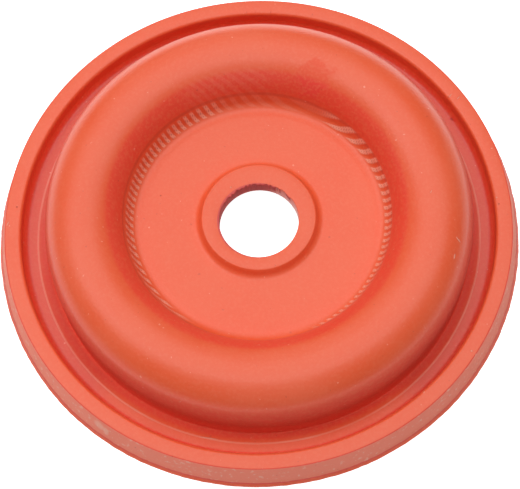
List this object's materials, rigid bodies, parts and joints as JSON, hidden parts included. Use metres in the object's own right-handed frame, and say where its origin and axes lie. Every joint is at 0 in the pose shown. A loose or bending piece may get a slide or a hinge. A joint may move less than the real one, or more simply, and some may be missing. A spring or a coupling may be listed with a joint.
{
  "type": "valve diaphragm",
  "caption": "Moulded rubber valve diaphragm with a trimmed sealing rim, a raised rolling convolution, a flat centre disc and a bored boss.",
  "frame": {"origin": "middle of the rim's foot, on the surface that the part rests on", "axes": "+Z along the axis of the rim, towards the crown of the convolution; the bore is punched a little off centre along -Y"},
  "size_m": [0.0534, 0.0534, 0.0089],
  "materials": {
    "orange_rubber": "satin moulded"
  },
  "bodies": {
    "root": {"diaphragm": "orange_rubber"}
  },
  "joints": []
}
